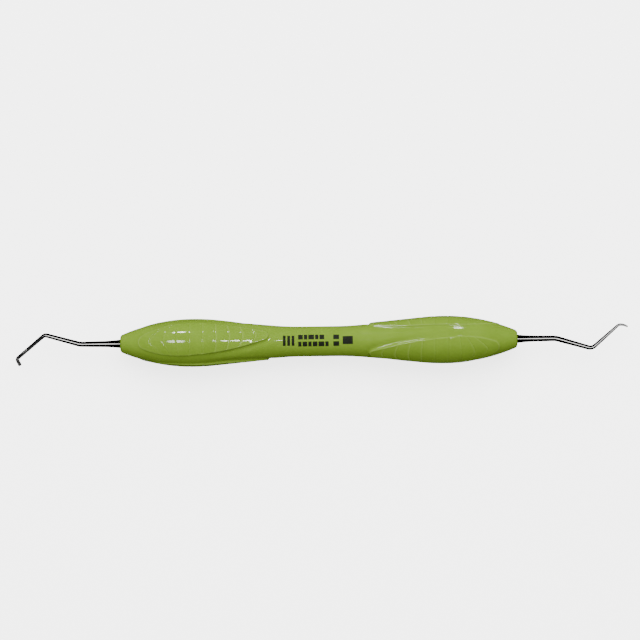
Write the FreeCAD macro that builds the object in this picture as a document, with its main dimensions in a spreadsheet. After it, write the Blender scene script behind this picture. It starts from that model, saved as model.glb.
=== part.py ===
"""Double-ended hand scaler: a moulded grip on a steel tube, with a hoe tip and a hook tip.

Millimetres. The origin is on the grip's axis at the middle of its waist. +X runs along
the grip towards the hook tip. Both tips bend in the XY plane, and +Z is square to it.
"""

import FreeCAD, Part
import math
import os

import Sketcher

Vector = FreeCAD.Vector
Constraint = Sketcher.Constraint

# alias, value, meaning
DIMENSIONS = [
    ("grip_length", 110.0, "grip, end face to end face"),
    ("waist_radius", 4.16, "slim middle of the grip"),
    ("waist_half_length", 4.7, "half of the plain cylinder at the waist"),
    ("waist_blend_radius", 82.0, "hollow curve from the waist into each bulge"),
    ("belly_radius", 6.36, "fattest radius of a bulge, under its pads"),
    ("belly_inset", 19.5, "end face to the fattest place"),
    ("belly_curve_radius", 78.7, "bulge curve on its waist side"),
    ("nose_curve_radius", 48.6, "bulge curve on its tip side"),
    ("nose_round_radius", 1.1, "rounded rim of the end face"),
    ("tube_length", 100.0, "steel core tube"),
    ("tube_radius", 3.0, "outside of the core tube"),
    ("tube_bore_radius", 2.5, "inside of the core tube"),
    ("collar_thickness", 0.8, "bush collar against the end of the tube"),
    ("bush_depth", 12.0, "bush length inside the tube"),
    ("tang_radius", 1.5, "tip tang, and the bore of its bush"),
    ("tang_depth", 11.0, "tang length inside the bush"),
    ("tang_lead", 0.4, "chamfer on the inner end of the tang"),
    ("exit_radius", 1.18, "tip where it leaves the grip"),
    ("neck_radius", 0.83, "tip at the end of its hollow neck"),
    ("neck_length", 6.0, "hollow neck outside the grip"),
    ("pad_height", 0.33, "how far a leaf pad stands out of the grip"),
    ("pad_nose_inset", 5.15, "end face to the broad end of a pad"),
    ("pad_nose_round", 2.2, "radius of the broad end of a pad"),
    ("pad_broad_inset", 17.0, "end face to the widest place of a pad"),
    ("pad_point_inset", 41.0, "end face to the narrow end of a pad"),
    ("pad_point_round", 1.3, "radius of the narrow end of a pad"),
    ("pad_half_width", 4.6, "half width of a pad, seen square on"),
    ("pad_root_radius", 3.5, "how deep the pads are rooted in the grip"),
    ("hoe_side_pad_angle", 11.2, "first pad of the hoe bulge, from +Z towards +Y"),
    ("hook_side_pad_angle", -35.5, "first pad of the hook bulge, from +Z towards +Y"),
    ("pad_lean", 2.5, "how far a pad leans off the line of the grip, degrees"),
    ("groove_first_inset", 8.2, "end face to the first cross groove of the pads"),
    ("groove_pitch", 3.66, "from one cross groove to the next"),
    ("groove_width", 0.35, "cross groove, along the grip"),
    ("groove_depth", 0.12, "cross groove, into the pad"),
    ("hoe_run_one", 4.45, "hoe: straight from the neck to the first bend"),
    ("hoe_bend_one_radius", 5.0, "hoe: first bend"),
    ("hoe_bend_one_turn", 15.6, "hoe: first bend, degrees"),
    ("hoe_run_two", 8.86, "hoe: straight between the first bend and the elbow"),
    ("hoe_elbow_radius", 1.2, "hoe: elbow"),
    ("hoe_elbow_turn", 55.7, "hoe: elbow, degrees"),
    ("hoe_run_three", 9.0, "hoe: straight terminal shank"),
    ("hoe_heel_radius", 0.7, "hoe: bend from the shank into the blade"),
    ("hoe_heel_turn", 77.1, "hoe: bend into the blade, degrees"),
    ("hoe_blade_length", 1.4, "hoe: straight of the blade, up to its bevel"),
    ("hoe_bevel_length", 0.18, "hoe: bevelled end of the blade"),
    ("hoe_bend_one_width", 1.45, "hoe: diameter at the first bend"),
    ("hoe_elbow_width", 1.25, "hoe: diameter at the elbow"),
    ("hoe_shank_width", 1.12, "hoe: diameter past the elbow"),
    ("hoe_heel_width", 1.0, "hoe: diameter at the heel of the blade"),
    ("hoe_blade_width", 1.0, "hoe: diameter of the blade"),
    ("hoe_end_width", 0.6, "hoe: diameter of the bevelled end"),
    ("hoe_flat_reach", 0.58, "hoe: how far inside the bends the ground flats are cut"),
    ("hoe_flat_back", 0.22, "hoe: where a ground flat runs out, outside the bends"),
    ("hoe_front_half_width", 0.12, "hoe: half width between the two flats, inside the bends"),
    ("hoe_back_half_width", 0.56, "hoe: half width between the two flats, where they run out"),
    ("hook_run_one", 3.95, "hook: straight from the neck to the first bend"),
    ("hook_bend_one_radius", 5.0, "hook: first bend"),
    ("hook_bend_one_turn", 16.3, "hook: first bend, degrees"),
    ("hook_run_two", 8.6, "hook: straight between the first bend and the elbow"),
    ("hook_elbow_radius", 2.0, "hook: elbow"),
    ("hook_elbow_turn", 57.3, "hook: elbow, degrees"),
    ("hook_run_three", 8.21, "hook: straight terminal shank"),
    ("hook_crown_radius", 1.47, "hook: bend over the top of the hook"),
    ("hook_crown_turn", 41.0, "hook: bend over the top, degrees"),
    ("hook_beak_radius", 3.4, "hook: gentle curve down to the point"),
    ("hook_beak_turn", 32.0, "hook: gentle curve, degrees"),
    ("hook_point_length", 0.3, "hook: sharpened point"),
    ("hook_bend_one_width", 1.56, "hook: diameter at the first bend"),
    ("hook_elbow_width", 1.26, "hook: diameter at the elbow"),
    ("hook_shank_width", 1.14, "hook: diameter past the elbow"),
    ("hook_crown_width", 0.78, "hook: diameter at the top of the hook"),
    ("hook_beak_width", 0.58, "hook: diameter behind the point"),
    ("hook_point_width", 0.08, "hook: diameter of the very point"),
]
PADS_PER_BULGE = 3
GROOVES_PER_PAD = 9
HOE_FIRST_GROUND_EDGE = 5  # the flats run from the terminal shank to the end of the blade
NODES = ("grip_sleeve", "core_tube", "hoe_end_bush", "hook_end_bush", "hoe_tip", "hook_tip")
START, END, CENTRE = 1, 2, 3  # how a sketch names the points of a line or an arc
X_AXIS, ORIGIN = -1, (-1, 1)  # how a sketch names its own X axis and origin

# Turns as seen from +Z, for a tip that points along +X.
LEFT, RIGHT = 1, -1
HOE_ROUTE = [
    ("run", "hoe_run_one", "hoe_bend_one_width"),
    ("bend", "hoe_bend_one", RIGHT, "hoe_bend_one_width"),
    ("run", "hoe_run_two", "hoe_elbow_width"),
    ("bend", "hoe_elbow", LEFT, "hoe_shank_width"),
    ("run", "hoe_run_three", "hoe_heel_width"),
    ("bend", "hoe_heel", LEFT, "hoe_blade_width"),
    ("run", "hoe_blade_length", "hoe_blade_width"),
    ("run", "hoe_bevel_length", "hoe_end_width"),
]
HOOK_ROUTE = [
    ("run", "hook_run_one", "hook_bend_one_width"),
    ("bend", "hook_bend_one", RIGHT, "hook_bend_one_width"),
    ("run", "hook_run_two", "hook_elbow_width"),
    ("bend", "hook_elbow", LEFT, "hook_shank_width"),
    ("run", "hook_run_three", "hook_crown_width"),
    ("bend", "hook_crown", RIGHT, "hook_crown_width"),
    ("bend", "hook_beak", RIGHT, "hook_beak_width"),
    ("run", "hook_point_length", "hook_point_width"),
]

os.makedirs("parts", exist_ok=True)
doc = FreeCAD.newDocument("hand_scaler")


def make_sheet():
    """The spreadsheet, called Sizes in every expression, that the document is bound to."""
    sheet = doc.addObject("Spreadsheet::Sheet", "Sizes")
    for row, (alias, value, meaning) in enumerate(DIMENSIONS, start=1):
        sheet.set(f"A{row}", meaning)
        sheet.set(f"B{row}", str(value))
        sheet.setAlias(f"B{row}", alias)
    doc.recompute()
    return sheet


SHEET = make_sheet()


def value(expression):
    """What an expression gives now, for the first drawing of a sketch."""
    return float(SHEET.evalExpression(expression))


# ---------------------------------------------------------------- sketch helpers


def fix(sketch, kind, points, expression, unit=""):
    """Bind one dimension of a sketch to the sheet."""
    first = math.radians(value(expression)) if unit else value(expression)
    index = sketch.addConstraint(Constraint(kind, *points, first))
    sketch.setExpression(f"Constraints[{index}]", f"({expression}){unit}")


def fix_point(sketch, line, point, across, up):
    """Bind a point's place in the sketch. A negative one is bound as a distance backwards."""
    for kind, expression in (("DistanceX", across), ("DistanceY", up)):
        ends = (*ORIGIN, line, point)
        if value(expression) < 0:
            ends, expression = (line, point, *ORIGIN), f"-({expression})"
        fix(sketch, kind, ends, expression)


def draw_line(sketch, start, end):
    return sketch.addGeometry(Part.LineSegment(Vector(*start), Vector(*end)), False)


def draw_arc(sketch, centre, radius, first, last):
    """An arc that runs anticlockwise from angle first to angle last, in radians."""
    circle = Part.Circle(Vector(*centre), Vector(0, 0, 1), radius)
    return sketch.addGeometry(Part.ArcOfCircle(circle, first, last), False)


def join(sketch, *ends):
    """Make pairs of end points meet: (line, point, line, point)."""
    for end in ends:
        sketch.addConstraint(Constraint("Coincident", *end))


def blend(sketch, *ends):
    """Make pairs of end points meet smoothly."""
    for end in ends:
        sketch.addConstraint(Constraint("Tangent", *end))


def draw_polygon(sketch, corners, closed=True):
    """Straight lines through corners, each a pair of expressions bound to the sheet."""
    places = [(value(across), value(up)) for across, up in corners]
    count = len(corners) if closed else len(corners) - 1
    lines = [draw_line(sketch, places[i], places[(i + 1) % len(places)]) for i in range(count)]
    for line, following in zip(lines, lines[1:] + lines[:1] if closed else lines[1:]):
        join(sketch, (line, END, following, START))
    for line, (across, up) in zip(lines, corners):
        fix_point(sketch, line, START, across, up)
    if not closed:
        fix_point(sketch, lines[-1], END, *corners[-1])
    return lines


def body_sketch(body, name, support=None, mode="FlatFace", along=0.0):
    """A sketch on the body's own XY plane, or on an edge of another of its sketches."""
    sketch = body.newObject("Sketcher::SketchObject", name)
    if support is None:
        planes = {plane.Role: plane for plane in body.Origin.OriginFeatures}
        support = (planes["XY_Plane"], "")
    sketch.AttachmentSupport = [support]
    sketch.MapMode = mode
    sketch.MapPathParameter = along
    return sketch


def turn_body(body, sketch, name):
    """Revolve a profile that lies above the X axis into the body."""
    turned = body.newObject("PartDesign::Revolution", name)
    turned.Profile = sketch
    turned.ReferenceAxis = (sketch, ["H_Axis"])
    turned.Angle = 360.0
    return turned


def turned_part(label, corners):
    """A body turned about the X axis from a polygon."""
    body = doc.addObject("PartDesign::Body", label)
    profile = body_sketch(body, f"{label}_profile")
    draw_polygon(profile, corners)
    turn_body(body, profile, f"{label}_turned")
    return body


def face_to_hoe_end(body):
    """Swing a part that was drawn towards +X round to point along -X."""
    body.Placement = FreeCAD.Placement(Vector(), FreeCAD.Rotation(Vector(0, 0, 1), 180.0))


# ---------------------------------------------------------------- grip sleeve

HALF = "Sizes.grip_length / 2"
COLLAR_FACE = "Sizes.tube_length / 2 + Sizes.collar_thickness"
# Radii that clear the whole grip, for stock that is cut away or cut to shape.
CLEAR, FAR_CLEAR = "Sizes.belly_radius * 1.5", "Sizes.belly_radius * 2"


WAIST_X = "Sizes.waist_half_length"
BELLY_X = f"{HALF} - Sizes.belly_inset"
HOLLOW_Y = "Sizes.waist_radius + Sizes.waist_blend_radius"
BELLY_Y = "Sizes.belly_radius - Sizes.belly_curve_radius"
NOSE_Y = "Sizes.belly_radius - Sizes.nose_curve_radius"


def flank_slope():
    """Slope, in radians, of the straight flank between the waist curve and the belly."""
    across, up = value(f"{BELLY_X} - {WAIST_X}"), value(f"{HOLLOW_Y} - ({BELLY_Y})")
    reach = value("Sizes.waist_blend_radius + Sizes.belly_curve_radius")
    return math.atan2(across, up) - math.acos(reach / math.hypot(across, up))


def draw_bulge(sketch, offset):
    """Waist curve, flank, belly and nose of half a grip, standing off by an offset.

    Returns the waist curve and the nose arc, whose free ends the caller joins up.
    """
    slope, quarter = flank_slope(), math.pi / 2
    hollow_r = value(f"Sizes.waist_blend_radius - ({offset})")
    belly_r = value(f"Sizes.belly_curve_radius + {offset}")
    nose_r = value(f"Sizes.nose_curve_radius + {offset}")
    hollow_centre = (value(WAIST_X), value(HOLLOW_Y))
    belly_centre = (value(BELLY_X), value(BELLY_Y))
    nose_centre = (value(BELLY_X), value(NOSE_Y))
    hollow = draw_arc(sketch, hollow_centre, hollow_r, -quarter, slope - quarter)
    flank_start = (hollow_centre[0] + hollow_r * math.sin(slope),
                   hollow_centre[1] - hollow_r * math.cos(slope))
    flank_end = (belly_centre[0] - belly_r * math.sin(slope),
                 belly_centre[1] + belly_r * math.cos(slope))
    flank = draw_line(sketch, flank_start, flank_end)
    belly = draw_arc(sketch, belly_centre, belly_r, quarter, quarter + slope)
    nose_reach = math.asin(value("Sizes.belly_inset - Sizes.nose_round_radius") / nose_r)
    nose = draw_arc(sketch, nose_centre, nose_r, quarter - nose_reach, quarter)

    blend(sketch, (hollow, END, flank, START), (flank, END, belly, END))
    join(sketch, (belly, START, nose, END))
    fix(sketch, "Radius", (hollow,), f"Sizes.waist_blend_radius - ({offset})")
    fix(sketch, "Radius", (belly,), f"Sizes.belly_curve_radius + {offset}")
    fix_point(sketch, hollow, CENTRE, WAIST_X, HOLLOW_Y)
    fix_point(sketch, belly, CENTRE, BELLY_X, BELLY_Y)
    fix_point(sketch, nose, CENTRE, BELLY_X, NOSE_Y)
    for arc in (hollow, belly):
        sketch.addConstraint(Constraint("Vertical", arc, CENTRE, arc, START))
    return hollow, nose


def point_of(sketch, line, point):
    """Where an end point of a sketch now lies, as (x, y)."""
    place = sketch.getPoint(line, point)
    return place.x, place.y


def revolve(sketch, name):
    """Turn a free sketch about the X axis into a solid."""
    turned = doc.addObject("Part::Revolution", name)
    turned.Source = sketch
    turned.Axis = Vector(1, 0, 0)
    turned.Angle = 360.0
    turned.Solid = True
    return turned


def combine(kind, name, base, tool):
    """A Part::Cut or Part::Common of two objects."""
    result = doc.addObject(kind, name)
    result.Base = base
    result.Tool = tool
    return result


def half_sleeve():
    """Half of the sleeve, from the middle of the waist to the hook end, without its pads."""
    sketch = doc.addObject("Sketcher::SketchObject", "half_sleeve_profile")
    hollow, nose = draw_bulge(sketch, "0")
    rim_r, half = value("Sizes.nose_round_radius"), value(HALF)
    nose_x, nose_y = point_of(sketch, nose, CENTRE)
    rim_reach = value("Sizes.nose_curve_radius") - rim_r
    rim_x = half - rim_r
    rim_y = nose_y + math.sqrt(rim_reach**2 - (rim_x - nose_x) ** 2)
    rim = draw_arc(sketch, (rim_x, rim_y), rim_r, 0, math.atan2(rim_y - nose_y, rim_x - nose_x))
    blend(sketch, (nose, START, rim, END))
    fix(sketch, "Radius", (rim,), "Sizes.nose_round_radius")
    inside = draw_polygon(sketch, [
        (HALF, "Sizes.exit_radius"),
        (COLLAR_FACE, "Sizes.tang_radius"),
        (COLLAR_FACE, "Sizes.tube_radius"),
        ("0", "Sizes.tube_radius"),
        ("0", "Sizes.waist_radius"),
    ], closed=False)
    face = draw_line(sketch, (half, rim_y), (half, value("Sizes.exit_radius")))
    blend(sketch, (rim, START, face, START))
    join(sketch, (face, END, inside[0], START))
    sketch.addConstraint(Constraint("Vertical", face))
    waist = draw_line(sketch, (0, value("Sizes.waist_radius")), point_of(sketch, hollow, START))
    join(sketch, (inside[-1], END, waist, START), (waist, END, hollow, START))
    return revolve(sketch, "half_sleeve")


def standing_off(name, offset, closing_radius):
    """Solid between the bulge raised by an offset and a cylinder of the closing radius."""
    sketch = doc.addObject("Sketcher::SketchObject", f"{name}_profile")
    hollow, nose = draw_bulge(sketch, offset)
    hollow_end, nose_end = point_of(sketch, hollow, START), point_of(sketch, nose, START)
    inner = draw_line(sketch, hollow_end, (hollow_end[0], value(closing_radius)))
    along = draw_line(sketch, (hollow_end[0], value(closing_radius)),
                      (nose_end[0], value(closing_radius)))
    outer = draw_line(sketch, (nose_end[0], value(closing_radius)), nose_end)
    join(sketch, (hollow, START, inner, START), (inner, END, along, START),
         (along, END, outer, START), (outer, END, nose, START))
    for line in (inner, outer):
        sketch.addConstraint(Constraint("Vertical", line))
    sketch.addConstraint(Constraint("Horizontal", along))
    fix(sketch, "DistanceY", (*ORIGIN, along, START), closing_radius)
    fix(sketch, "DistanceX", (*ORIGIN, along, END), f"{HALF} - Sizes.pad_nose_inset / 2")
    return revolve(sketch, name)


def groove_rings():
    """The cross grooves of one bulge, as rings that reach down to the grooves' floor."""
    discs = []
    for index in range(GROOVES_PER_PAD):
        disc = doc.addObject("Part::Cylinder", f"groove_disc_{index + 1}")
        disc.setExpression("Radius", FAR_CLEAR)
        disc.setExpression("Height", "Sizes.groove_width")
        disc.Placement = FreeCAD.Placement(Vector(), FreeCAD.Rotation(Vector(0, 1, 0), 90.0))
        inset = f"Sizes.groove_first_inset + {index} * Sizes.groove_pitch"
        disc.setExpression("Placement.Base.x", f"{HALF} - ({inset}) - Sizes.groove_width / 2")
        discs.append(disc)
    stack = doc.addObject("Part::MultiFuse", "groove_discs")
    stack.Shapes = discs
    shell = standing_off("groove_shell", "Sizes.pad_height - Sizes.groove_depth", CLEAR)
    return combine("Part::Common", "groove_rings", stack, shell)


def draw_leaf_end(sketch, end, way):
    """One end of a leaf: a round end between two long sides. way is 1 towards the end face.

    Returns the upper side, the point of it at the widest place, and those of the lower side.
    """
    broad_x, broad_y = value(f"{HALF} - Sizes.pad_broad_inset"), value("Sizes.pad_half_width")
    round_r = value(f"Sizes.pad_{end}_round")
    round_at = f"{HALF} - Sizes.pad_{end}_inset - {way} * Sizes.pad_{end}_round"
    reach = abs(value(round_at) - broad_x)
    side_r = (reach**2 + broad_y**2 - round_r**2) / (2 * (broad_y - round_r))
    up, lean = math.pi / 2, way * math.asin(reach / (side_r - round_r))
    top = draw_arc(sketch, (broad_x, broad_y - side_r), side_r, *sorted((up, up - lean)))
    low = draw_arc(sketch, (broad_x, side_r - broad_y), side_r, *sorted((-up, lean - up)))
    first, last = (lean - up, up - lean) if way == 1 else (up - lean, 3 * up + lean)
    tip = draw_arc(sketch, (value(round_at), 0.0), round_r, first, last)
    top_tip, top_broad = (START, END) if way == 1 else (END, START)
    blend(sketch, (top, top_tip, tip, top_broad), (low, top_broad, tip, top_tip))
    fix(sketch, "Radius", (tip,), f"Sizes.pad_{end}_round")
    fix(sketch, "DistanceX", (*ORIGIN, tip, CENTRE), round_at)
    sketch.addConstraint(Constraint("PointOnObject", tip, CENTRE, X_AXIS))
    sketch.addConstraint(Constraint("Vertical", top, CENTRE, top, top_broad))
    sketch.addConstraint(Constraint("Vertical", low, CENTRE, low, top_tip))
    return (top, top_broad), (low, top_tip)


def draw_leaf(sketch):
    """The outline of a leaf pad. Returns the upper side's widest point, still to be placed."""
    nose_top, nose_low = draw_leaf_end(sketch, "nose", 1)
    point_top, point_low = draw_leaf_end(sketch, "point", -1)
    join(sketch, (*nose_top, *point_top), (*nose_low, *point_low))
    sketch.addConstraint(Constraint("Symmetric", *nose_top, *nose_low, X_AXIS))
    return nose_top


def leaf_prism(name, angle, lean):
    """A leaf outline square to its own radius of the grip, run out through the surface.

    It is turned to its angle round the grip, and leans about its own widest place.
    """
    sketch = doc.addObject("Sketcher::SketchObject", f"{name}_outline")
    turn = f"create(<<rotation>>; 0; 0; -({angle})) * create(<<rotation>>; {lean}; 0; 0)"
    widest = f"create(<<vector>>; {HALF} - Sizes.pad_broad_inset; 0; 0)"
    sketch.setExpression(
        "Placement", f"create(<<placement>>; create(<<vector>>; 0; 0; 0); {turn}; {widest})")
    fix_point(sketch, *draw_leaf(sketch), f"{HALF} - Sizes.pad_broad_inset",
              "Sizes.pad_half_width")
    prism = doc.addObject("Part::Extrusion", f"{name}_prism")
    prism.Base = sketch
    prism.DirMode = "Normal"
    prism.Solid = True
    prism.setExpression("LengthFwd", CLEAR)
    return prism


def grip_sleeve():
    """The moulded grip: two bulges with three raised leaf pads each, over a slim waist."""
    half = half_sleeve()
    raised = standing_off("pad_stock", "Sizes.pad_height", "Sizes.pad_root_radius")
    ribbed = combine("Part::Cut", "ribbed_pad_stock", raised, groove_rings())
    halves = []
    for side, lean in (("hook", "Sizes.pad_lean"), ("hoe", "-Sizes.pad_lean")):
        pieces = [half]
        for index in range(PADS_PER_BULGE):
            name = f"{side}_side_pad_{index + 1}"
            angle = f"Sizes.{side}_side_pad_angle + {index} * 360 / {PADS_PER_BULGE}"
            prism = leaf_prism(name, angle, lean)
            pieces.append(combine("Part::Common", name, ribbed, prism))
        bulge = doc.addObject("Part::MultiFuse", f"{side}_bulge")
        bulge.Shapes = pieces
        halves.append(bulge)
    mirrored = doc.addObject("Part::Mirroring", "hoe_bulge_in_place")
    mirrored.Source = halves[1]
    mirrored.Normal = Vector(1, 0, 0)
    sleeve = doc.addObject("Part::MultiFuse", "grip_sleeve")
    sleeve.Shapes = [halves[0], mirrored]
    sleeve.Refine = True
    return sleeve


# ---------------------------------------------------------------- steel parts

TUBE_END = "Sizes.tube_length / 2"


def core_tube():
    """The steel tube that stiffens the grip from end to end."""
    body = doc.addObject("PartDesign::Body", "core_tube")
    profile = body_sketch(body, "core_tube_profile")
    draw_polygon(profile, [
        ("0", "Sizes.tube_bore_radius"),
        (TUBE_END, "Sizes.tube_bore_radius"),
        (TUBE_END, "Sizes.tube_radius"),
        ("0", "Sizes.tube_radius"),
    ])
    turned = turn_body(body, profile, "core_tube_half")
    mirror = body.newObject("PartDesign::Mirrored", "core_tube_whole")
    mirror.Originals = [turned]
    mirror.MirrorPlane = (profile, ["V_Axis"])
    body.Tip = mirror
    return body


def end_bush(side):
    """A collared bush that centres a tang in one end of the tube."""
    return turned_part(f"{side}_end_bush", [
        (f"{TUBE_END} - Sizes.bush_depth", "Sizes.tang_radius"),
        (COLLAR_FACE, "Sizes.tang_radius"),
        (COLLAR_FACE, "Sizes.tube_radius"),
        (TUBE_END, "Sizes.tube_radius"),
        (TUBE_END, "Sizes.tube_bore_radius"),
        (f"{TUBE_END} - Sizes.bush_depth", "Sizes.tube_bore_radius"),
    ])


def tip_root(body, side):
    """Tang, cone through the end of the grip, and hollow neck of a tip."""
    profile = body_sketch(body, f"{side}_root_profile")
    tang_end = f"{TUBE_END} - Sizes.tang_depth"
    neck_end = f"{HALF} + Sizes.neck_length"
    lines = draw_polygon(profile, [
        (neck_end, "Sizes.neck_radius"),
        (neck_end, "0"),
        (tang_end, "0"),
        (tang_end, "Sizes.tang_radius - Sizes.tang_lead"),
        (f"{tang_end} + Sizes.tang_lead", "Sizes.tang_radius"),
        (COLLAR_FACE, "Sizes.tang_radius"),
        (HALF, "Sizes.exit_radius"),
    ], closed=False)
    drop = value("Sizes.exit_radius - Sizes.neck_radius")
    length = value("Sizes.neck_length")
    radius = (length**2 + drop**2) / (2 * drop)
    middle = -math.pi / 2
    centre = (value(neck_end), value("Sizes.neck_radius") + radius)
    hollow = draw_arc(profile, centre, radius, middle - math.asin(length / radius), middle)
    join(profile, (hollow, START, lines[-1], END), (hollow, END, lines[0], START))
    profile.addConstraint(Constraint("Vertical", hollow, CENTRE, hollow, END))
    turn_body(body, profile, f"{side}_root")


def draw_run(sketch, name, place, heading):
    """A straight stretch of a route. Returns its near end, far end and where it ends."""
    length = value(f"Sizes.{name}")
    far = (place[0] + length * math.cos(heading), place[1] + length * math.sin(heading))
    line = draw_line(sketch, place, far)
    fix(sketch, "Distance", (line,), f"Sizes.{name}")
    return (line, START), (line, END), far


def draw_bend(sketch, name, way, place, heading):
    """A bend of a route, LEFT or RIGHT. Returns its near end, far end and where it ends."""
    radius, turn = value(f"Sizes.{name}_radius"), math.radians(value(f"Sizes.{name}_turn"))
    centre = (place[0] - way * radius * math.sin(heading),
              place[1] + way * radius * math.cos(heading))
    first = heading - way * math.pi / 2
    last = first + way * turn
    line = draw_arc(sketch, centre, radius, *sorted((first, last)))
    fix(sketch, "Radius", (line,), f"Sizes.{name}_radius")
    fix(sketch, "Angle", (line,), f"Sizes.{name}_turn", " * 1 deg")
    far = (centre[0] + radius * math.cos(last), centre[1] + radius * math.sin(last))
    near_point, far_point = (START, END) if way == LEFT else (END, START)
    return (line, near_point), (line, far_point), far


def draw_route(body, side, route):
    """The centre line of a bent shank: straights and arcs that run smoothly into one another.

    Returns the sketch and, for each stretch, whether its edge is drawn from its far end.
    """
    sketch = body_sketch(body, f"{side}_route")
    place, heading = (value(f"{HALF} + Sizes.neck_length"), 0.0), 0.0
    last_end, backwards = None, []
    for kind, name, *turning in route:
        if kind == "run":
            near_end, far_end, place = draw_run(sketch, name, place, heading)
        else:
            way = turning[0]
            near_end, far_end, place = draw_bend(sketch, name, way, place, heading)
            heading += way * math.radians(value(f"Sizes.{name}_turn"))
        if last_end:
            blend(sketch, (*last_end, *near_end))
        else:
            sketch.addConstraint(Constraint("Horizontal", near_end[0]))
            sketch.addConstraint(Constraint("PointOnObject", *near_end, X_AXIS))
            fix(sketch, "DistanceX", (*ORIGIN, *near_end), f"{HALF} + Sizes.neck_length")
        last_end = far_end
        backwards.append(far_end[1] == START)
    return sketch, backwards


def ring(body, path, edge, along, name, width):
    """A circle square to one end of an edge of the path."""
    sketch = body_sketch(body, name, (path, edge), "NormalToEdge", along)
    circle = Part.Circle(Vector(), Vector(0, 0, 1), value(width) / 2)
    sketch.addGeometry(circle, False)
    sketch.addConstraint(Constraint("Coincident", 0, CENTRE, *ORIGIN))
    fix(sketch, "Diameter", (0,), width)
    return sketch


def sweep_shank(body, side, route):
    """Round shank along the route, each stretch tapering from one width to the next."""
    path, backwards = draw_route(body, side, route)
    doc.recompute()
    near_width = "Sizes.neck_radius * 2"
    for index, (stretch, reverse) in enumerate(zip(route, backwards), start=1):
        far_width = f"Sizes.{stretch[-1]}"
        near, far = (1.0, 0.0) if reverse else (0.0, 1.0)
        edge = f"Edge{index}"
        start = ring(body, path, edge, near, f"{side}_ring_{index}_near", near_width)
        end = ring(body, path, edge, far, f"{side}_ring_{index}_far", far_width)
        sweep = body.newObject("PartDesign::AdditivePipe", f"{side}_stretch_{index}")
        sweep.Profile = start
        sweep.Spine = (path, [edge])
        sweep.Sections = [(end, [""])]
        sweep.Transformation = "Multisection"
        near_width = far_width
    return path


def grind_flats(body, path, edges):
    """Two flats, either side of the XY plane, that draw together inside the bends."""
    for side, name in ((1, "hoe_flat_above"), (-1, "hoe_flat_below")):
        sketch = body_sketch(body, f"{name}_profile", (path, edges[0]), "NormalToEdge")
        draw_polygon(sketch, [
            ("-Sizes.hoe_flat_reach", f"{side} * Sizes.hoe_front_half_width"),
            ("Sizes.hoe_flat_back", f"{side} * Sizes.hoe_back_half_width"),
            ("-Sizes.hoe_flat_reach", f"{side} * Sizes.hoe_back_half_width * 2"),
        ])
        cut = body.newObject("PartDesign::SubtractivePipe", name)
        cut.Profile = sketch
        cut.Spine = (path, edges)


def hoe_tip():
    """Hoe: a bent shank ending in a short blade turned back, with ground flats."""
    body = doc.addObject("PartDesign::Body", "hoe_tip")
    tip_root(body, "hoe")
    path = sweep_shank(body, "hoe", HOE_ROUTE)
    doc.recompute()
    round_volume = body.Shape.Volume
    ground = range(HOE_FIRST_GROUND_EDGE, len(HOE_ROUTE) + 1)
    grind_flats(body, path, [f"Edge{number}" for number in ground])
    face_to_hoe_end(body)
    doc.recompute()
    if body.Shape.Volume >= round_volume:
        raise RuntimeError("the flats of the hoe cut nothing")
    print(f"hoe flats: {round_volume - body.Shape.Volume:.3f} mm3")
    return body


def hook_tip():
    """Hook: a bent shank ending in a smooth curve that narrows to a point."""
    body = doc.addObject("PartDesign::Body", "hook_tip")
    tip_root(body, "hook")
    sweep_shank(body, "hook", HOOK_ROUTE)
    return body


# ---------------------------------------------------------------- build and write


def check_document():
    """Stop if any object failed or any node is not one valid solid."""
    doc.recompute()
    for thing in doc.Objects:
        if "Invalid" in thing.State or "Error" in thing.State:
            raise RuntimeError(f"{thing.Name} failed: {thing.State}")
    for node in NODES:
        shape = doc.getObjectsByLabel(node)[0].Shape
        if shape.isNull() or not shape.isValid() or len(shape.Solids) != 1:
            raise RuntimeError(f"{node} is not one valid solid")


def write_parts():
    """Write each node's shape and print its volume."""
    for node in NODES:
        shape = doc.getObjectsByLabel(node)[0].Shape
        shape.exportStep(os.path.join("parts", f"{node}.step"))
        print(f"{node}: {shape.Volume:.2f} mm3, {shape.BoundBox}")


grip_sleeve()
core_tube()
face_to_hoe_end(end_bush("hoe"))
end_bush("hook")
hoe_tip()
hook_tip()
check_document()
write_parts()
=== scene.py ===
"""A double-ended hand scaler: lime silicone grip, generic waist print and two steel tips.

The CAD frame is in metres: +X along the grip to the hook, +Z towards the camera. The sizes of
the instrument are in millimetres here, and MM turns them into metres where a mesh is made.
Lights are placed and sized in metres. An inset is a distance in from a grip's end face.
"""
import math

import bpy
import numpy as np
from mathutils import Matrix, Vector


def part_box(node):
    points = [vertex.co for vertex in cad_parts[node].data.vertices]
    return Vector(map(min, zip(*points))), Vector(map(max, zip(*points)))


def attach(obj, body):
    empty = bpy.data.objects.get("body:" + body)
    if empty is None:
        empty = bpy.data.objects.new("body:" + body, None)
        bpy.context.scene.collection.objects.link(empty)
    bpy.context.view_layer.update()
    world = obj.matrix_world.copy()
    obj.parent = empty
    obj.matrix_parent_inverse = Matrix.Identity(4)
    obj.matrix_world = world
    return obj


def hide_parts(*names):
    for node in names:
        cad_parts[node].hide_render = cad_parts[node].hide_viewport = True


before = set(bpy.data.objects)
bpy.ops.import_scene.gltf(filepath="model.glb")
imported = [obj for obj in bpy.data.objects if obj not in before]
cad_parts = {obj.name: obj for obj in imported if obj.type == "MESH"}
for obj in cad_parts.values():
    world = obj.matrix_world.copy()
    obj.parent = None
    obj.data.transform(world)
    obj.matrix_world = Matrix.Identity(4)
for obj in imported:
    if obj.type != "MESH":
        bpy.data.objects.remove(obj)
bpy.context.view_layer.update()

MM = 0.001
grip_low, grip_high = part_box("grip_sleeve")
FLOOR_Z = grip_low[2]
HALF_MM = (grip_high[0] - grip_low[0]) / 2 / MM


# ---------------------------------------------------------------- shader helpers


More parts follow.
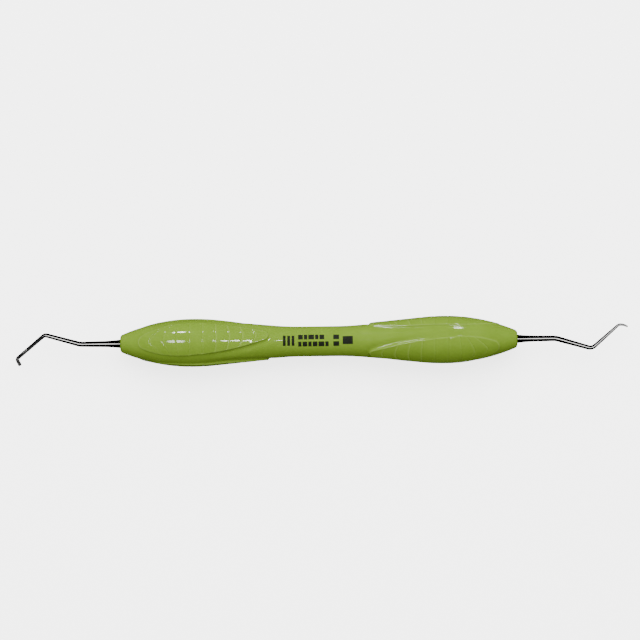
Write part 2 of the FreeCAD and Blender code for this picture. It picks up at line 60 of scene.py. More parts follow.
def new_material(name, **sockets):
    """A material with a Principled shader, its uniform values set on its own sockets."""
    material = bpy.data.materials.new(name)
    material.use_nodes = True
    shader = material.node_tree.nodes["Principled BSDF"]
    for socket, value in sockets.items():
        shader.inputs[socket.replace("_", " ")].default_value = value
    return material


class Nodes:
    """Short calls for building one material's node tree."""

    def __init__(self, material):
        self.tree = material.node_tree
        self.shader = self.tree.nodes["Principled BSDF"]

    def add(self, kind, inputs=None, **settings):
        node = self.tree.nodes.new(f"ShaderNode{kind}")
        for name, value in settings.items():
            setattr(node, name, value)
        for name, value in (inputs or {}).items():
            self.put(value, node.inputs[name])
        return node

    def put(self, value, socket):
        if isinstance(value, bpy.types.NodeSocket):
            self.tree.links.new(value, socket)
        else:
            socket.default_value = value

    def noise(self, vector, scale, detail=3.0, roughness=0.55):
        node = self.add("TexNoise", {"Vector": vector, "Scale": scale, "Detail": detail,
                                     "Roughness": roughness})
        return node.outputs["Fac"]

    def stretched(self, vector, scale):
        """Coordinates multiplied along each axis."""
        node = self.add("Mapping", {"Vector": vector, "Scale": scale})
        return node.outputs["Vector"]

    def ramp(self, factor, stops):
        """A colour ramp through (position, colour) stops."""
        node = self.add("ValToRGB", {"Fac": factor})
        band = node.color_ramp
        while len(band.elements) < len(stops):
            band.elements.new(1.0)
        for element, (position, colour) in zip(band.elements, stops):
            element.position = position
            element.color = (*colour, 1.0)
        return node.outputs["Color"]

    def mix(self, factor, first, second):
        """A colour that goes from the first towards a plain second colour."""
        node = self.add("MixRGB", {"Fac": factor, "Color1": first, "Color2": (*second, 1.0)})
        return node.outputs["Color"]

    def span(self, factor, low, high):
        """A factor from 0 to 1 turned into the range low to high."""
        node = self.add("MapRange", {"Value": factor, "To Min": low, "To Max": high})
        return node.outputs["Result"]

    def math(self, operation, first, second):
        node = self.add("Math", {0: first, 1: second}, operation=operation)
        return node.outputs[0]

    def bump(self, height, strength, distance, normal=None):
        inputs = {"Height": height, "Strength": strength, "Distance": distance}
        if normal is not None:
            inputs["Normal"] = normal
        return self.add("Bump", inputs).outputs["Normal"]

    def attribute(self, name):
        """One number per point of the mesh."""
        return self.add("Attribute", attribute_name=name).outputs["Fac"]

    def position(self):
        return self.add("TexCoord").outputs["Object"]


# ---------------------------------------------------------------- materials


def grip_material():
    """Glossy lime silicone: faint mottling, painted shade in the grooves, a painted highlight
    along pad edges and groove lips, a fine moulded grain.
    """
    material = new_material("lime_silicone", IOR=1.43, Subsurface_Weight=0.06,
                            Subsurface_Radius=(0.6, 1.0, 0.2), Subsurface_Scale=0.0003)
    nodes = Nodes(material)
    place = nodes.position()
    mottle = nodes.noise(place, 260.0, 4.0)
    colour = nodes.ramp(mottle, [(0.3, (0.090, 0.152, 0.0135)), (0.7, (0.100, 0.167, 0.016))])
    # Painted shade: darker in the cross grooves and on the side walls at the pads' edges.
    shaded = nodes.mix(nodes.math("MULTIPLY", nodes.attribute("sunk"), 0.12), colour,
                       (0.050, 0.090, 0.007))
    # Painted highlight: paler along the crowns of the pads' edges and the lips of the grooves.
    highlighted = nodes.mix(nodes.math("MULTIPLY", nodes.attribute("edge_highlight"), 0.45), shaded,
                      (0.165, 0.240, 0.050))
    nodes.put(highlighted, nodes.shader.inputs["Base Color"])
    smears = nodes.noise(nodes.stretched(place, (1.0, 3.0, 3.0)), 90.0, 3.0)
    nodes.put(nodes.span(smears, 0.06, 0.10), nodes.shader.inputs["Roughness"])
    grain = nodes.noise(place, 5200.0, 2.0)
    waves = nodes.noise(place, 420.0, 2.0)
    fine = nodes.bump(grain, 0.015, 0.00002)
    nodes.put(nodes.bump(waves, 0.03, 0.00005, fine), nodes.shader.inputs["Normal"])
    return material


def steel_material(name, dark, light, rough, scratch_scale, scratch_strength):
    """Steel with scratches along the piece, and tone and gloss that wander a little."""
    material = new_material(name, Metallic=1.0)
    nodes = Nodes(material)
    along = nodes.add("Attribute", attribute_name="straight").outputs["Vector"]
    lines = nodes.noise(nodes.stretched(along, scratch_scale), 1.0, 4.0, 0.6)
    clouds = nodes.noise(nodes.position(), 380.0, 3.0)
    colour = nodes.ramp(nodes.math("MULTIPLY", nodes.math("ADD", lines, clouds), 0.5),
                        [(0.35, dark), (0.65, light)])
    nodes.put(colour, nodes.shader.inputs["Base Color"])
    nodes.put(nodes.span(lines, *rough), nodes.shader.inputs["Roughness"])
    nodes.put(nodes.bump(lines, scratch_strength, 0.00002), nodes.shader.inputs["Normal"])
    return material


def turned_steel_material():
    """Lathe-turned steel for the parts inside the grip: fine rings round the axis."""
    material = new_material("turned_steel", Metallic=1.0)
    nodes = Nodes(material)
    place = nodes.position()
    rings = nodes.noise(nodes.stretched(place, (9000.0, 60.0, 60.0)), 1.0, 3.0)
    nodes.put(nodes.ramp(rings, [(0.3, (0.42, 0.42, 0.41)), (0.7, (0.6, 0.6, 0.59))]),
              nodes.shader.inputs["Base Color"])
    nodes.put(nodes.span(rings, 0.28, 0.45), nodes.shader.inputs["Roughness"])
    nodes.put(nodes.bump(rings, 0.2, 0.00001), nodes.shader.inputs["Normal"])
    return material


def ink_material():
    """Black pad-printing ink, a little uneven."""
    material = new_material("black_ink", IOR=1.2)
    nodes = Nodes(material)
    blotch = nodes.noise(nodes.position(), 2500.0, 3.0)
    nodes.put(nodes.ramp(blotch, [(0.3, (0.003, 0.004, 0.002)), (0.75, (0.009, 0.012, 0.005))]),
              nodes.shader.inputs["Base Color"])
    nodes.put(nodes.span(blotch, 0.5, 0.65), nodes.shader.inputs["Roughness"])
    nodes.put(nodes.bump(blotch, 0.2, 0.00001), nodes.shader.inputs["Normal"])
    return material


def floor_material():
    """Pale paper on a light table, which glows a little through it."""
    material = new_material("pale_paper", Roughness=0.9, Emission_Strength=3.0,
                            Emission_Color=(1.0, 1.0, 1.0, 1.0))
    nodes = Nodes(material)
    fibre = nodes.noise(nodes.position(), 900.0, 3.0)
    nodes.put(nodes.ramp(fibre, [(0.3, (0.90, 0.90, 0.895)), (0.7, (0.915, 0.915, 0.91))]),
              nodes.shader.inputs["Base Color"])
    return material


# ---------------------------------------------------------------- mesh helpers


def ring_faces(count, around, closed):
    """Faces over rings of points, first sides then, unless they close, the two caps."""
    last = count if closed else count - 1
    row = np.arange(last)[:, None] * around
    following = (np.arange(last)[:, None] + 1) % count * around
    here, there = np.arange(around)[None, :], (np.arange(around)[None, :] + 1) % around
    quads = np.stack([row + here, following + here, following + there, row + there], axis=-1)
    faces = quads.reshape(-1, 4).tolist()
    if not closed:
        total = count * around
        faces += [list(range(around)), list(range(total - 1, total - around - 1, -1))]
    return faces


def mesh_piece(name, points, faces, materials, face_material=None):
    """A smooth mesh piece from points in millimetres. face_material is one number a face."""
    mesh = bpy.data.meshes.new(name)
    mesh.from_pydata((points * MM).tolist(), [], faces)
    for material in materials:
        mesh.materials.append(material)
    if face_material is not None:
        mesh.polygons.foreach_set("material_index", face_material)
    mesh.polygons.foreach_set("use_smooth", [True] * len(faces))
    mesh.update()
    piece = bpy.data.objects.new(name, mesh)
    bpy.context.scene.collection.objects.link(piece)
    return piece


def smooth_step(value, low, high):
    """0 below low, 1 above high, with an easy rise between."""
    part = np.clip((value - low) / (high - low), 0.0, 1.0)
    return part * part * (3.0 - 2.0 * part)


# ---------------------------------------------------------------- grip

WAIST_R, WAIST_START = 4.16, 50.3
BELLY_R, BELLY_INSET = 6.36, 19.5
NOSE_CURVE, BELLY_CURVE, WAIST_CURVE = 48.6, 78.7, 82.0
RIM_R, EXIT_R, TANG_R, TUBE_R = 1.1, 1.18, 1.5, 3.0
COLLAR_INSET = 4.2
PAD_RISE, PAD_LIP = 0.33, 0.035
PAD_NOSE, PAD_NOSE_ROUND = 5.15, 2.2
PAD_BROAD, PAD_HALF = 17.0, 4.6
PAD_POINT, PAD_POINT_ROUND = 41.0, 1.3
HOE_PAD_ANGLE, HOOK_PAD_ANGLE = 11.2, -35.5
PAD_LEAN = math.tan(math.radians(2.5))
PADS = 3
SECTOR = 2 * math.pi / PADS
# Insets between which a pad grows to its full height, and its share of that at the nose.
HEIGHT_GROWS, NOSE_SHARE = (7.0, 24.0), 0.5
# Depth in from a pad's edge over which its face dips, and over which grooves come in.
DISH_REACH, GROOVED_REACH = (0.12, 0.7), 0.35
LEAN_START, PAD_PAST = 4.0, PAD_POINT + 1.0
# Widths of a pad edge's foot and crown, and the spread of the painted highlight along the crown.
EDGE_FOOT, EDGE_CROWN, CROWN_SPREAD = 0.36, 0.07, 0.13
GROOVE_FIRST, GROOVE_PITCH, GROOVES = 8.2, 3.66, 9
GROOVE_DEPTH, GROOVE_SPREAD, SCALE_SWELL = 0.06, 0.12, 0.012
NOSE_BOW, POINT_BOW, BOW_POWER = 4.8, 0.95, 1.5
# Where, how wide and how strong the painted highlight beside each groove is.
LIP_AWAY, LIP_SPREAD = 0.24, 0.12
LIP_PLAIN, LIP_POINT_GAIN, LIP_NOSE_GAIN = 0.25, 0.75, 0.5
SCOOP_DEPTH, SCOOP_NEAR, SCOOP_FAR = 0.22, 0.6, 2.6
SCOOP_STARTS, SCOOP_ENDS = (20.0, 32.0), (38.0, 46.0)
TWIST_HALF = 14.0
# The mesh: rows beside a groove, row and column counts, and a pad's least half angle.
BESIDE_GROOVE = (0.07, 0.14, 0.22, 0.32)
BEFORE_GROOVES, AFTER_GROOVES = 0.45, 0.15
NOSE_ROWS, SCALE_ROWS, TAPER_ROWS, WAIST_ROWS, RIM_ROWS = 46, 9, 27, 18, 8
PAD_COLUMNS, GAP_COLUMNS, COLUMN_CROWDING = 21, 7, 0.85
PAD_GRID_MIN, PAD_GRID_EASE = 0.18, 0.03
SHARP_MOULDED, SHARP_GROUND = math.radians(50), math.radians(22)


def flank_slope():
    """Angle of the straight flank that touches the belly curve and the waist curve."""
    across = WAIST_START - BELLY_INSET
    up = WAIST_R + WAIST_CURVE + BELLY_CURVE - BELLY_R
    reach = WAIST_CURVE + BELLY_CURVE
    return math.atan2(across, up) - math.acos(reach / math.hypot(across, up))


SLOPE = flank_slope()


def bare_radius(inset):
    """Radius of the grip without its pads, at distances from its end face."""
    nose = BELLY_R - NOSE_CURVE + np.sqrt(NOSE_CURVE**2 - np.minimum(inset - BELLY_INSET, 0) ** 2)
    belly_reach = np.clip(inset - BELLY_INSET, 0, BELLY_CURVE * math.sin(SLOPE))
    belly = BELLY_R - BELLY_CURVE + np.sqrt(BELLY_CURVE**2 - belly_reach**2)
    hollow_reach = np.clip(WAIST_START - inset, 0, WAIST_CURVE * math.sin(SLOPE))
    hollow = WAIST_R + WAIST_CURVE - np.sqrt(WAIST_CURVE**2 - hollow_reach**2)
    flank_start = BELLY_INSET + BELLY_CURVE * math.sin(SLOPE)
    flank_end = WAIST_START - WAIST_CURVE * math.sin(SLOPE)
    flank = belly - (np.clip(inset, flank_start, flank_end) - flank_start) * math.tan(SLOPE)
    return np.where(inset < BELLY_INSET, nose, np.where(inset < flank_end, flank, hollow))


def pad_end(inset):
    """For the end of a leaf that an inset is nearer: its round's centre and radius, how far
    the long sides reach from the widest place to that centre, and the sides' radius."""
    nose = inset < PAD_BROAD
    end_round = np.where(nose, PAD_NOSE_ROUND, PAD_POINT_ROUND)
    centre = np.where(nose, PAD_NOSE + PAD_NOSE_ROUND, PAD_POINT - PAD_POINT_ROUND)
    reach = np.abs(centre - PAD_BROAD)
    side = (reach**2 + PAD_HALF**2 - end_round**2) / (2 * (PAD_HALF - end_round))
    return centre, end_round, reach, side


def inside_pad(inset, across):
    """How far inside a leaf's outline a place lies, seen square on, below zero outside."""
    centre, end_round, reach, side = pad_end(inset)
    beyond = np.where(inset < PAD_BROAD, centre - inset, inset - centre)
    to_round = end_round - np.hypot(beyond, across)
    to_side = side - np.hypot(inset - PAD_BROAD, across + side - PAD_HALF)
    return np.where(beyond * (side - PAD_HALF) > across * reach, to_round, to_side)


def pad_grid_angle(inset):
    """Half angle that the mesh gives a pad: its own past the widest place, never too slim."""
    _, _, _, side = pad_end(inset)
    along = np.clip(inset - PAD_BROAD, 0.0, PAD_POINT - PAD_BROAD)
    half_width = PAD_HALF - side + np.sqrt(side**2 - along**2)
    angle = np.arcsin(half_width / (bare_radius(np.maximum(inset, PAD_BROAD)) + PAD_RISE))
    spread = angle - PAD_GRID_MIN
    return PAD_GRID_MIN + 0.5 * (spread + np.sqrt(spread**2 + PAD_GRID_EASE**2))


def bow(row):
    """How far a cross groove bends back at a pad's edges, towards the middle of the bulge.

    Each smooth_step holds the two insets that the bow comes in or dies out between.
    """
    nose = NOSE_BOW * smooth_step(row, 0.9, 5.6) * (1.0 - smooth_step(row, 6.5, 18.0))
    point = -POINT_BOW * smooth_step(row, 23.0, 33.0) * (1.0 - smooth_step(row, 41.5, 50.0))
    return nose + point


def groove_profile(row):
    """Shares of full depth (also the share of painted shade in a groove) and of painted highlight
    on the lip beside it, at the cross grooves, and how far all is sunk.

    Between one groove and the next a scale swells, which counts as sunk below zero.
    """
    number = np.clip(np.round((row - GROOVE_FIRST) / GROOVE_PITCH), 0, GROOVES - 1)
    away = row - GROOVE_FIRST - number * GROOVE_PITCH
    groove = np.exp(-((away / GROOVE_SPREAD) ** 2))
    lip = np.exp(-(((away - LIP_AWAY) / LIP_SPREAD) ** 2))
    lip *= (LIP_PLAIN + LIP_POINT_GAIN * smooth_step(row, 22.0, 30.0)
            + LIP_NOSE_GAIN * (1.0 - smooth_step(row, 10.0, 16.0)))
    scale = (row - GROOVE_FIRST) / GROOVE_PITCH
    swell = 4.0 * (scale % 1.0) * (1.0 - scale % 1.0) * (scale > 0.0) * (scale < GROOVES - 1)
    return groove, lip, GROOVE_DEPTH * groove - SCALE_SWELL * swell


def row_places():
    """Insets of the mesh rows of one bulge, close together at each cross groove."""
    near = np.array(BESIDE_GROOVE)
    fine = np.concatenate([-near[::-1], [0.0], near])
    wide = np.linspace(near[-1], GROOVE_PITCH - near[-1], SCALE_ROWS)[1:-1]
    rows = [*np.linspace(RIM_START, GROOVE_FIRST - BEFORE_GROOVES, NOSE_ROWS)]
    for number in range(GROOVES):
        centre = GROOVE_FIRST + number * GROOVE_PITCH
        rows += [*(centre + fine), *(centre + wide if number < GROOVES - 1 else [])]
    rows += [*np.linspace(rows[-1] + AFTER_GROOVES, PAD_PAST, TAPER_ROWS)]
    rows += [*np.linspace(rows[-1], HALF_MM, WAIST_ROWS)[1:]]
    return np.array(rows)


def rim_rows():
    """(inset, radius) of the rounded rim, from the flat end face out to the nose curve."""
    nose_y = BELLY_R - NOSE_CURVE
    centre_y = nose_y + math.sqrt((NOSE_CURVE - RIM_R) ** 2 - (BELLY_INSET - RIM_R) ** 2)
    far = math.atan2(centre_y - nose_y, BELLY_INSET - RIM_R)
    angles = np.linspace(0.0, far, RIM_ROWS)
    return [(RIM_R - RIM_R * math.cos(a), centre_y + RIM_R * math.sin(a)) for a in angles]


RIM = rim_rows()
RIM_START = RIM[-1][0]


def sector_columns():
    """Mesh columns of the third of the grip round one pad, from gap to gap.

    Each is (share of the pad, distance out from its edge, share of the gap, side).
    """
    shares = np.linspace(0.0, 1.0, PAD_COLUMNS)[:-1] ** COLUMN_CROWDING
    half = [(share, 0.0, 0.0) for share in shares]
    half += [(1.0, out, 0.0) for out in (-EDGE_CROWN, 0.0, 0.1, 0.2, EDGE_FOOT)]
    half += [(1.0, EDGE_FOOT, share) for share in np.linspace(0.0, 1.0, GAP_COLUMNS)[1:]]
    low_side = [(*column, -1.0) for column in reversed(half[1:-1])]
    return np.array(low_side + [(*column, 1.0) for column in half])


COLUMNS = sector_columns()


def scoop(inset, outside):
    """Depth of the hollow that runs beside the narrow half of each pad, at places outside it."""
    beyond = smooth_step(outside, SCOOP_NEAR, SCOOP_FAR)
    across = smooth_step(outside, 0.0, SCOOP_NEAR) * (1.0 - beyond)
    along = smooth_step(inset, *SCOOP_STARTS) * (1.0 - smooth_step(inset, *SCOOP_ENDS))
    return SCOOP_DEPTH * across * along


def grip_rows(rows, side, first_pad):
    """Rings (row, column, xyz) over one bulge, and how much painted shade and painted highlight
    each point takes.

    rows are insets, side is -1 at the hoe end, and first_pad is each row's pad angle.
    """
    share, out, gap, sign = (COLUMNS[:, i][None, :] for i in range(4))
    row = rows[:, None]
    inset = row + bow(row) * share**BOW_POWER
    bare = bare_radius(inset)
    half_angle = pad_grid_angle(inset)
    edge = half_angle + out / bare
    away = np.where(share < 1.0, share * (half_angle - EDGE_CROWN / bare),
                    edge + gap * (SECTOR / 2 - edge))
    across = (bare + PAD_RISE) * np.sin(np.minimum(away, math.pi / 2))
    from_centre = np.abs(across + sign * side * PAD_LEAN * (inset - row))
    inside = inside_pad(inset, from_centre) / np.cos(np.minimum(away, 0.8))
    rise = np.clip((inside + EDGE_FOOT) / (EDGE_FOOT + EDGE_CROWN), 0.0, 1.0)
    groove, lip, fall = groove_profile(row)
    on_pad = smooth_step(inside, EDGE_CROWN, GROOVED_REACH)
    dish = PAD_LIP * smooth_step(inside, *DISH_REACH)
    height = PAD_RISE * (NOSE_SHARE + (1.0 - NOSE_SHARE) * smooth_step(inset, *HEIGHT_GROWS))
    radius = bare + height * (1.0 - np.cos(rise * math.pi / 2)) - dish - fall * on_pad
    radius -= scoop(inset, -inside)
    # Painted shade on the side wall at a pad's edge.
    foot = smooth_step(rise, 0.05, 0.5) * (rise < 0.9)
    # Painted highlight along the crown of a pad's edge.
    crown = np.exp(-(((inside - EDGE_CROWN) / CROWN_SPREAD) ** 2))
    marks = np.stack([groove * on_pad + foot, lip * on_pad + crown], axis=-1).clip(0.0, 1.0)
    rings, tints = [], []
    for pad in range(PADS):
        angle = first_pad[:, None] + pad * SECTOR + sign * away
        x = side * (HALF_MM - inset) * np.ones_like(angle)
        rings.append(np.stack([x, radius * np.sin(angle), radius * np.cos(angle)], axis=-1))
        tints.append(marks)
    return np.concatenate(rings, axis=1), np.concatenate(tints, axis=1)


def pad_angle(x):
    """Angle of the first pad's centre line, which leans, and swings over from bulge to bulge."""
    turn = smooth_step(x, -TWIST_HALF, TWIST_HALF)
    inset = np.clip(HALF_MM - np.abs(x), LEAN_START, PAD_PAST)
    swing = PAD_LEAN * (inset - PAD_BROAD) / (bare_radius(inset) + PAD_RISE)
    hoe, hook = math.radians(HOE_PAD_ANGLE) + swing, math.radians(HOOK_PAD_ANGLE) - swing
    return hoe + (hook - hoe) * turn


def plain_rings(places):
    """Round rings at (x, radius) places, with the columns of the bulges' outer rows."""
    rim_row = np.array([RIM_START])
    made = []
    for x, radius in places:
        ring, _ = grip_rows(rim_row, 1.0, pad_angle(np.array([x])))
        length = np.hypot(ring[0, :, 1], ring[0, :, 2])[:, None]
        across = ring[0, :, 1:] / length * radius
        made.append(np.column_stack([np.full(len(across), x), across]))
    return np.array(made)


def make_grip():
    """The moulded grip as one closed skin: bulges, pads, waist, rims and bore."""
    rows = row_places()
    hoe, hoe_marks = grip_rows(rows, -1.0, pad_angle(rows - HALF_MM))
    hook, hook_marks = grip_rows(rows, 1.0, pad_angle(HALF_MM - rows))
    rim_out = [(HALF_MM - inset, radius) for inset, radius in reversed(RIM[:-1])]
    collar_x = HALF_MM - COLLAR_INSET
    end = rim_out + [(HALF_MM, EXIT_R), (collar_x, TANG_R), (collar_x, TUBE_R)]
    bore = [(x, TUBE_R) for x in np.linspace(collar_x, -collar_x, 14)[1:-1]]
    inner = plain_rings(end + bore + [(-x, radius) for x, radius in reversed(end)])
    rings = np.concatenate([hoe, hook[::-1][1:], inner])
    marks = np.concatenate([hoe_marks, hook_marks[::-1][1:], np.zeros((*inner.shape[:2], 2))])
    faces = ring_faces(*rings.shape[:2], True)
    piece = mesh_piece("grip_skin", rings.reshape(-1, 3), faces, [grip_material()])
    piece.data.set_sharp_from_angle(angle=SHARP_MOULDED)
    # Amounts of painted shade and painted highlight, read by the silicone's colour.
    for index, name in enumerate(("sunk", "edge_highlight")):
        mark = piece.data.attributes.new(name, "FLOAT", "POINT")
        mark.data.foreach_set("value", marks[..., index].reshape(-1))
    finish_piece(piece, "grip_sleeve")
    return piece


def finish_piece(piece, node):
    """Ride on the one body and stand for the CAD node that it replaces, which is hidden."""
    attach(piece, "root")
    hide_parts(node)


# ---------------------------------------------------------------- waist print

INK_PROUD, INK_ROOTED = 0.012, 0.03
PRINT_TILT = math.radians(4.0)
ROW_HEIGHT, ROW_STEP, BLOCK_GAP = 1.35, 1.95, 0.3
BARS_AT, BAR_WIDTH, BAR_HALF_HEIGHT = (-9.9, -8.7, -7.5), 0.75, 1.4
BOXES = [(4.0, 5.6, 0.3, 1.6), (4.0, 5.6, -1.6, -0.3), (6.6, 9.4, -1.1, 1.1)]
# Widths of the plain blocks in each row, which starts at ROWS_START.
ROWS_START = -5.7
UPPER_BLOCKS = (1.3, 0.9, 1.6, 0.9, 1.3)
LOWER_BLOCKS = (0.9, 1.3, 0.9, 1.3, 1.6, 0.9)


def print_marks():
    """Plain marks with no lettering, each (left, right, low, high) in millimetres."""
    marks = [(left, left + BAR_WIDTH, -BAR_HALF_HEIGHT, BAR_HALF_HEIGHT) for left in BARS_AT]
    for blocks, middle in ((UPPER_BLOCKS, ROW_STEP / 2), (LOWER_BLOCKS, -ROW_STEP / 2)):
        left = ROWS_START
        for width in blocks:
            marks.append((left, left + width, middle - ROW_HEIGHT / 2, middle + ROW_HEIGHT / 2))
            left += width + BLOCK_GAP
    return marks + BOXES


def make_print():
    """Marks of dark ink wrapped on the waist: bars, two rows of blocks, and three boxes."""
    points, faces = [], []
    for left, right, low, high in print_marks():
        angles = np.linspace(low, high, 9) / WAIST_R + PRINT_TILT
        round_mark = np.concatenate([angles, angles[::-1]])
        lift = np.repeat([INK_PROUD, -INK_ROOTED], len(angles))
        places = np.linspace(left, right, 6)
        radius = bare_radius(HALF_MM - np.abs(places))[:, None] + lift[None, :]
        x = np.repeat(places[:, None], len(round_mark), axis=1)
        rings = np.stack([x, radius * np.sin(round_mark), radius * np.cos(round_mark)], axis=-1)
        first = sum(len(block) for block in points)
        faces += [[first + corner for corner in face]
                  for face in ring_faces(*rings.shape[:2], False)]
        points.append(rings.reshape(-1, 3))
    piece = mesh_piece("waist_print", np.concatenate(points), faces, [ink_material()])
    piece.data.set_sharp_from_angle(angle=SHARP_MOULDED)
    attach(piece, "root")
    return piece


# ---------------------------------------------------------------- steel tips

NECK_R, NECK_LENGTH = 0.83, 6.0
TANG_END_INSET, TANG_LEAD = 16.0, 0.4
# Straights are (length, end diameter) and bends (radius, degrees turned left, end diameter),
# in the frame of a tip that points along +X.
HOE_ROUTE = [
    (4.45, 1.45), (5.0, -15.6, 1.45), (8.86, 1.25), (1.2, 55.7, 1.12),
    (9.0, 1.0), (0.7, 77.1, 1.0), (1.4, 1.0), (0.18, 0.6),
]
HOOK_ROUTE = [
    (3.95, 1.56), (5.0, -16.3, 1.56), (8.6, 1.26), (2.0, 57.3, 1.14),
    (8.21, 0.78), (1.47, -41.0, 0.78), (3.4, -32.0, 0.58), (0.3, 0.08),
]
AROUND = 64
# Which stretch of its route each flat is placed by, counted from 0.
HOE_ELBOW, HOOK_SHANK, HOOK_CROWN = 3, 4, 5
HOE_FLAT_DEPTH, HOE_FLAT_ANGLE, HOE_FLAT_EASE = 0.385, math.radians(118.8), 0.6
HOOK_FLAT_SHARE, HOOK_FLAT_ANGLE, HOOK_FLAT_LEAD = 0.72, math.radians(28.0), 1.0
LEAST_FACING = 0.05
STEP_MM, STEP_DEGREES = 0.35, 4.0


def root_stations():
    """Tang, cone and hollow neck of a tip, as (x, radius) along the straight root."""
    tang_end = HALF_MM - TANG_END_INSET
    stations = [(tang_end, TANG_R - TANG_LEAD), (tang_end + TANG_LEAD, TANG_R),
                (HALF_MM - COLLAR_INSET, TANG_R), (HALF_MM, EXIT_R)]
    drop = EXIT_R - NECK_R
    curve = (NECK_LENGTH**2 + drop**2) / (2 * drop)
    for reach in np.linspace(0.0, NECK_LENGTH, 14)[1:]:
        sag = curve - math.sqrt(curve**2 - (NECK_LENGTH - reach) ** 2)
        stations.append((HALF_MM + reach, NECK_R + sag))
    return stations


def route_stations(route):
    """Points down a tip: (x, y, heading, radius, length so far, stretch number)."""
    stations = [(x, 0.0, 0.0, radius, x, -1) for x, radius in root_stations()]
    x, y, heading, radius, length, _ = stations[-1]
    for number, stretch in enumerate(route):
        end_radius = stretch[-1] / 2
        if len(stretch) == 2:
            steps = max(2, round(stretch[0] / STEP_MM))
            for step in range(1, steps + 1):
                part = step / steps
                reach = stretch[0] * part
                stations.append((x + reach * math.cos(heading), y + reach * math.sin(heading),
                                 heading, radius + (end_radius - radius) * part,
                                 length + reach, number))
        else:
            bend, turn = stretch[0], math.radians(stretch[1])
            side = math.copysign(1.0, turn)
            centre = (x - side * bend * math.sin(heading), y + side * bend * math.cos(heading))
            steps = max(6, round(abs(stretch[1]) / STEP_DEGREES))
            for step in range(1, steps + 1):
                part = step / steps
                now = heading + turn * part
                stations.append((centre[0] + side * bend * math.sin(now),
                                 centre[1] - side * bend * math.cos(now), now,
                                 radius + (end_radius - radius) * part,
                                 length + bend * abs(turn) * part, number))
        x, y, heading, radius, length, _ = stations[-1]
    return np.array(stations)


def ground_sections(stations, flats):
    """Radii (station, point) of round sections cut back by ground flats.

    Each flat is (normal angle, closeness of each station): closeness is the flat's distance
    from the centre line as a share of the radius there, 1 where there is no flat.
    """
    angles = np.arange(AROUND) * 2 * math.pi / AROUND
    radii = np.repeat(stations[:, 3:4], AROUND, axis=1)
    ground = np.zeros_like(radii, dtype=bool)
    for normal, closeness in flats:
        facing = np.cos(angles - normal)[None, :]
        limit = closeness[:, None] * stations[:, 3:4] / np.maximum(facing, LEAST_FACING)
        ground |= limit < radii
        radii = np.minimum(radii, limit)
    return angles, radii, ground


def make_tip(name, route, flats_of, turned, slot_node):
    """A closed steel tip swept down its route, its ground flats in a second material."""
    stations = route_stations(route)
    angles, radii, ground = ground_sections(stations, flats_of(stations))
    x, y, heading = (stations[:, i][:, None] for i in range(3))
    right = radii * np.cos(angles)
    px, py = x + right * np.sin(heading), y - right * np.cos(heading)
    pz = radii * np.sin(angles)
    rings = np.stack([turned * px, turned * py, pz], axis=-1)
    ground &= np.roll(ground, -1, axis=1)
    flat_faces = (ground[:-1] & ground[1:]).astype(int).reshape(-1).tolist()
    faces = ring_faces(*rings.shape[:2], False)
    piece = mesh_piece(name, rings.reshape(-1, 3), faces, [POLISHED, GROUND],
                       flat_faces + [0, flat_faces[-1]])
    piece.data.set_sharp_from_angle(angle=SHARP_GROUND)
    straight = np.stack([np.repeat(stations[:, 4:5], AROUND, axis=1), right, pz], axis=-1)
    place = piece.data.attributes.new("straight", "FLOAT_VECTOR", "POINT")
    place.data.foreach_set("vector", straight.reshape(-1))
    finish_piece(piece, slot_node)
    return piece


def hoe_flats(stations):
    """Two flats that draw together inside the bends, from the elbow to the end of the blade."""
    number, length = stations[:, 5], stations[:, 4]
    elbow = length[number == HOE_ELBOW]
    onset = smooth_step(length, elbow[0], elbow[-1] + HOE_FLAT_EASE)
    closeness = 1.0 + onset * (np.minimum(HOE_FLAT_DEPTH / stations[:, 3], 1.0) - 1.0)
    return [(HOE_FLAT_ANGLE, closeness), (-HOE_FLAT_ANGLE, closeness)]


def hook_flats(stations):
    """Two flats inside the curve of the hook, deepening from the end of the shank."""
    number, length = stations[:, 5], stations[:, 4]
    shank, crown = length[number == HOOK_SHANK], length[number == HOOK_CROWN]
    onset = smooth_step(length, shank[-1] - HOOK_FLAT_LEAD, crown[-1])
    closeness = 1.0 + onset * (HOOK_FLAT_SHARE - 1.0)
    return [(HOOK_FLAT_ANGLE, closeness), (-HOOK_FLAT_ANGLE, closeness)]


# ---------------------------------------------------------------- studio


def make_camera():
    """Straight down on the instrument, turned a little so that it lies as pictured."""
    data = bpy.data.cameras.new("camera")
    camera = bpy.data.objects.new("camera", data)
    bpy.context.scene.collection.objects.link(camera)
    data.lens, data.sensor_width = LENS_MM, SENSOR_MM
    distance = VIEW_WIDTH_MM * MM * data.lens / data.sensor_width
    camera.location = (VIEW_X_MM * MM, VIEW_Y_MM * MM, distance)
    camera.rotation_euler = (0.0, 0.0, -math.radians(ROLL_DEGREES))
    data.clip_start, data.clip_end = 0.01, 50.0
    bpy.context.scene.camera = camera


def make_light(name, place, size, watts, mirrored=True):
    """A soft oval light that faces the grip, at a place in metres.

    mirrored is whether shiny surfaces show the light itself.
    """
    data = bpy.data.lights.new(name, "AREA")
    data.shape = "ELLIPSE"
    data.size, data.size_y = size
    data.energy = watts
    light = bpy.data.objects.new(name, data)
    bpy.context.scene.collection.objects.link(light)
    light.location = place
    light.rotation_euler = Vector(place).to_track_quat("Z", "Y").to_euler()
    light.visible_camera = False
    light.visible_glossy = mirrored
    return light


def light_only(light, pieces):
    """Let a light reach only some pieces."""
    lit = bpy.data.collections.new(f"lit_by_{light.name}")
    for piece in pieces:
        lit.objects.link(piece)
    light.light_linking.receiver_collection = lit


def lamp_place(distance, across, up):
    """A place seen from the grip at angles from straight up: towards +X, then +Y."""
    x, y = math.tan(math.radians(across)), math.tan(math.radians(up))
    return Vector((x, y, 1.0)).normalized() * distance


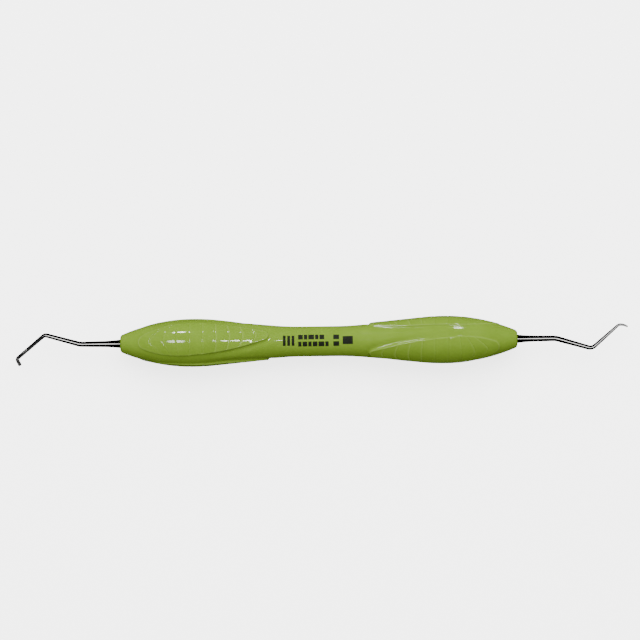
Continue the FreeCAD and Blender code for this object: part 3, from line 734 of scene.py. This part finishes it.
def make_floor():
    """A pale sheet under the grip, which lights no piece and shows in no reflection."""
    mesh = bpy.data.meshes.new("floor")
    half = FLOOR_HALF
    corners = [(-half, -half, FLOOR_Z), (half, -half, FLOOR_Z),
               (half, half, FLOOR_Z), (-half, half, FLOOR_Z)]
    mesh.from_pydata(corners, [], [(0, 1, 2, 3)])
    mesh.materials.append(floor_material())
    floor = bpy.data.objects.new("floor", mesh)
    bpy.context.scene.collection.objects.link(floor)
    floor.visible_glossy = False
    floor.visible_diffuse = False


def make_world(strength):
    """Even white surroundings, which shiny surfaces don't show."""
    world = bpy.data.worlds.new("world")
    world.use_nodes = True
    back = world.node_tree.nodes["Background"]
    back.inputs["Color"].default_value = (1.0, 1.0, 1.0, 1.0)
    back.inputs["Strength"].default_value = strength
    world.cycles_visibility.glossy = False
    bpy.context.scene.world = world


VIEW_WIDTH_MM, VIEW_X_MM, VIEW_Y_MM, ROLL_DEGREES = 177.3, 0.4, 5.9, 0.73
LENS_MM, SENSOR_MM = 200.0, 36.0
FLOOR_HALF, WORLD_STRENGTH = 3.0, 0.85
KEY_DISTANCE, LAMP_DISTANCE, PANEL_DISTANCE, FILL_DISTANCE = 1.4, 0.6, 1.4, 1.2
# Lamps that only the grip and its print catch: name, angles across and up, size, watts.
HANDLE_LAMPS = (
    ("strip_left", -21.5, 55.0, (0.09, 0.05), 1.0),
    ("strip_right", 24.0, 62.0, (0.05, 0.05), 0.55),
    ("lamp_left", -16.5, 9.0, (0.12, 0.14), 1.2),
    ("lamp_right", 9.0, 9.0, (0.06, 0.05), 0.55),
)

POLISHED = steel_material("polished_steel", (0.50, 0.495, 0.485), (0.60, 0.595, 0.585),
                          (0.06, 0.10), (0.12, 7.0, 7.0), 0.02)
GROUND = steel_material("ground_steel", (0.20, 0.20, 0.195), (0.30, 0.30, 0.29),
                        (0.26, 0.34), (3.0, 5.0, 5.0), 0.15)
make_camera()
make_floor()
make_world(WORLD_STRENGTH)
make_light("soft_key", lamp_place(KEY_DISTANCE, 0.0, 35.0), (1.8, 1.3), 48.0, mirrored=False)
handle = [make_grip(), make_print()]
tips = [make_tip("hoe_tip_steel", HOE_ROUTE, hoe_flats, -1.0, "hoe_tip"),
        make_tip("hook_tip_steel", HOOK_ROUTE, hook_flats, 1.0, "hook_tip")]
for name, across, up, size, watts in HANDLE_LAMPS:
    light_only(make_light(name, lamp_place(LAMP_DISTANCE, across, up), size, watts), handle)
steel_panel = make_light("steel_panel", lamp_place(PANEL_DISTANCE, 0.0, 0.0), (1.0, 0.6), 5.2)
light_only(steel_panel, tips)
hoe_fill = make_light("hoe_fill", lamp_place(FILL_DISTANCE, 57.6, -15.5), (1.6, 1.6), 3.2)
light_only(hoe_fill, tips[:1])
turned_steel = turned_steel_material()
for node in ("core_tube", "hoe_end_bush", "hook_end_bush"):
    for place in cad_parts[node].material_slots:
        place.material = turned_steel
